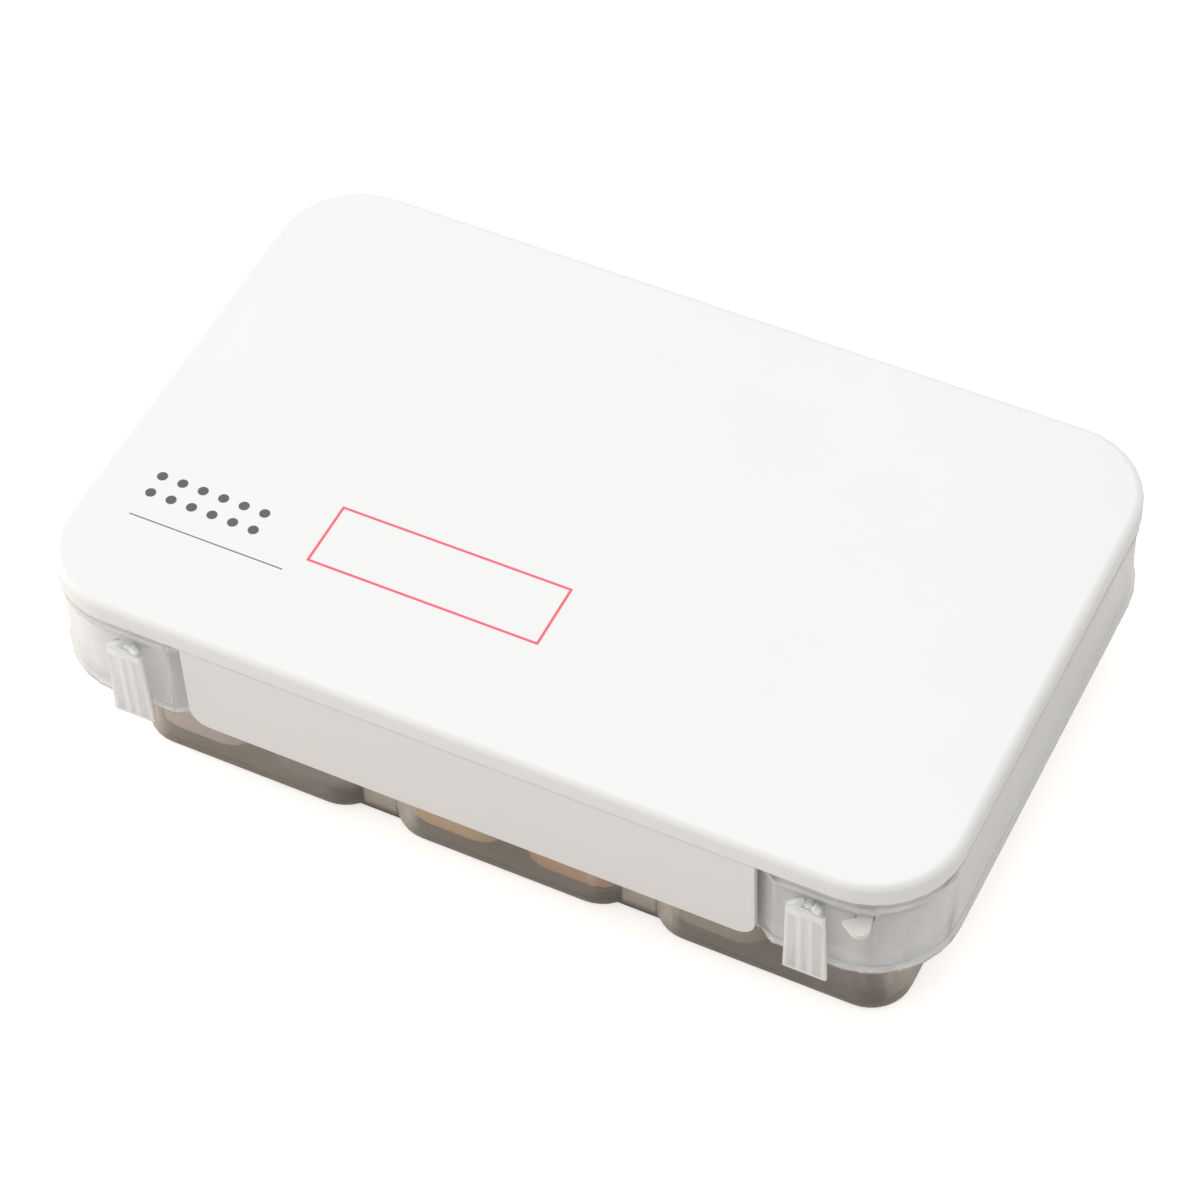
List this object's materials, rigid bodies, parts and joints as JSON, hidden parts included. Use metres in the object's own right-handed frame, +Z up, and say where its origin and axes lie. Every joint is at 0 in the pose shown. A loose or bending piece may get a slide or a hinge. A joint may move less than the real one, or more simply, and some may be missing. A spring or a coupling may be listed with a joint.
{
  "type": "gouache paint set box",
  "caption": "Flat case of sealed gouache cups in a clear welled tray, with a clear frame that holds a mixing palette, a hinged white cover with a front flap, and snap clips.",
  "frame": {"origin": "on the table, under the middle of the case's plan, which lies under the middle well", "axes": "+Z up, +X to the right along the case's length, +Y to the hinges at the back; the clips and the flap are on the -Y front"},
  "size_m": [0.19, 0.1285, 0.043],
  "materials": {
    "cover_plastic": "opaque white, satin",
    "palette_plastic": "opaque white, smooth",
    "frame_plastic": "cloudy clear, smooth",
    "clip_plastic": "cloudy clear, smooth",
    "tray_plastic": "cloudy clear, smooth",
    "cup_plastic": "thin clear, smooth",
    "film": "clear thin film",
    "paint_1": "thick water-based paint, satin",
    "paint_2": "thick water-based paint, satin",
    "paint_3": "thick water-based paint, satin",
    "paint_4": "thick water-based paint, satin",
    "paint_5": "thick water-based paint, satin",
    "paint_6": "thick water-based paint, satin",
    "paint_7": "thick water-based paint, satin",
    "paint_8": "thick water-based paint, satin",
    "paint_9": "thick water-based paint, satin",
    "paint_10": "thick water-based paint, satin",
    "paint_11": "thick water-based paint, satin",
    "paint_12": "thick water-based paint, satin"
  },
  "bodies": {
    "tray": {"base_tray": "tray_plastic", "paint_cup_1": "cup_plastic", "paint_1": "paint_1", "cup_film_1": "film", "paint_cup_2": "cup_plastic", "paint_2": "paint_2", "cup_film_2": "film", "paint_cup_3": "cup_plastic", "paint_3": "paint_3", "cup_film_3": "film", "paint_cup_4": "cup_plastic", "paint_4": "paint_4", "cup_film_4": "film", "paint_cup_5": "cup_plastic", "paint_5": "paint_5", "cup_film_5": "film", "paint_cup_6": "cup_plastic", "paint_6": "paint_6", "cup_film_6": "film", "paint_cup_7": "cup_plastic", "paint_7": "paint_7", "cup_film_7": "film", "paint_cup_8": "cup_plastic", "paint_8": "paint_8", "cup_film_8": "film", "paint_cup_9": "cup_plastic", "paint_9": "paint_9", "cup_film_9": "film", "paint_cup_10": "cup_plastic", "paint_10": "paint_10", "cup_film_10": "film", "paint_cup_11": "cup_plastic", "paint_11": "paint_11", "cup_film_11": "film", "paint_cup_12": "cup_plastic", "paint_12": "paint_12", "cup_film_12": "film"},
    "frame": {"lid_frame": "frame_plastic", "mixing_palette": "palette_plastic"},
    "cover": {"lid_cover": "cover_plastic"},
    "flap": {"front_flap": "cover_plastic"},
    "clip_left": {"clip_left": "clip_plastic"},
    "clip_right": {"clip_right": "clip_plastic"}
  },
  "joints": [
    {"name": "frame_hinge", "type": "hinge", "parent": "tray", "child": "frame", "pos_m": [0, 0.063, 0.0192], "axis": [-1, 0, 0], "range_deg": [0, 120]},
    {"name": "cover_hinge", "type": "hinge", "parent": "frame", "child": "cover", "pos_m": [0, 0.0624, 0.036], "axis": [-1, 0, 0], "range_deg": [0, 175]},
    {"name": "flap_hinge", "type": "hinge", "parent": "cover", "child": "flap", "pos_m": [0.0007, -0.05975, 0.03735], "axis": [-1, 0, 0], "range_deg": [0, 95]},
    {"name": "clip_left_hinge", "type": "hinge", "parent": "frame", "child": "clip_left", "pos_m": [-0.071, -0.0613, 0.0339], "axis": [-1, 0, 0], "range_deg": [0, 70]},
    {"name": "clip_right_hinge", "type": "hinge", "parent": "frame", "child": "clip_right", "pos_m": [0.0724, -0.0613, 0.0339], "axis": [-1, 0, 0], "range_deg": [0, 70]}
  ]
}
